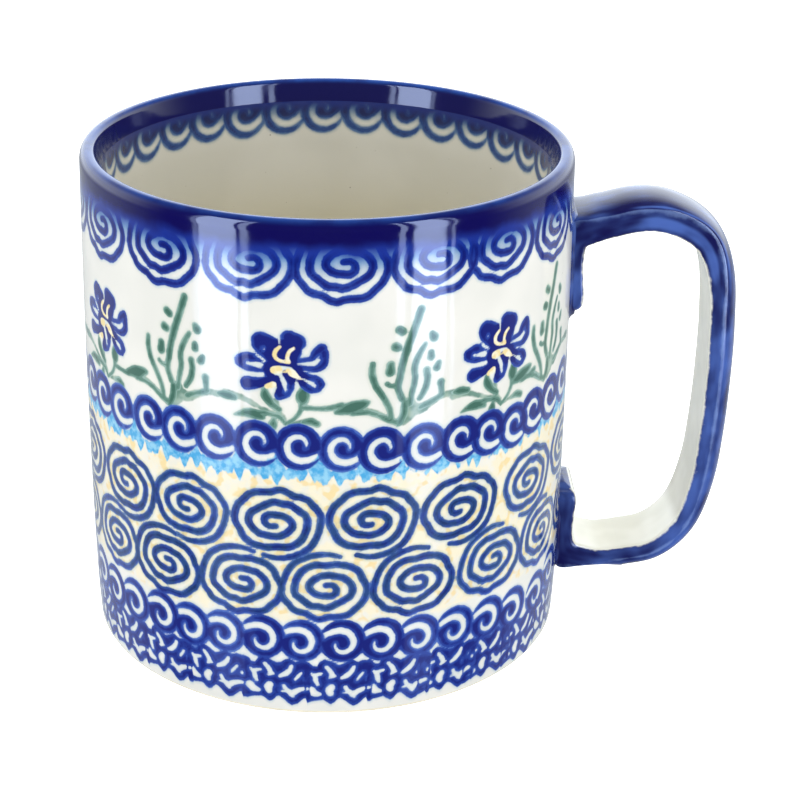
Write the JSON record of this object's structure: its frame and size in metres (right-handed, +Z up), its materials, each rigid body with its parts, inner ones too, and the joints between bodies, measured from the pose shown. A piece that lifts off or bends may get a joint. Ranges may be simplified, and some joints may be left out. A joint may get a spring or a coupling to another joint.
{
  "type": "hand-painted stoneware mug",
  "caption": "Straight-sided glazed stoneware mug with a foot ring and a squared strap handle joined on by slip.",
  "frame": {"origin": "on the surface that the mug stands on, under the middle of its bounding box", "axes": "+Z up, +X from the cup towards the handle, +Y across the handle"},
  "size_m": [0.122, 0.09, 0.094],
  "materials": {
    "painted_glaze": "gloss, hand painted",
    "cobalt_glaze": "gloss",
    "glazed_slip": "gloss",
    "cream_glaze": "gloss, speckled",
    "bare_stoneware": "unglazed, matt"
  },
  "bodies": {
    "root": {"mug_body": "painted_glaze", "handle": "cobalt_glaze", "upper_slip_joint": "glazed_slip", "lower_slip_joint": "glazed_slip"}
  },
  "joints": []
}
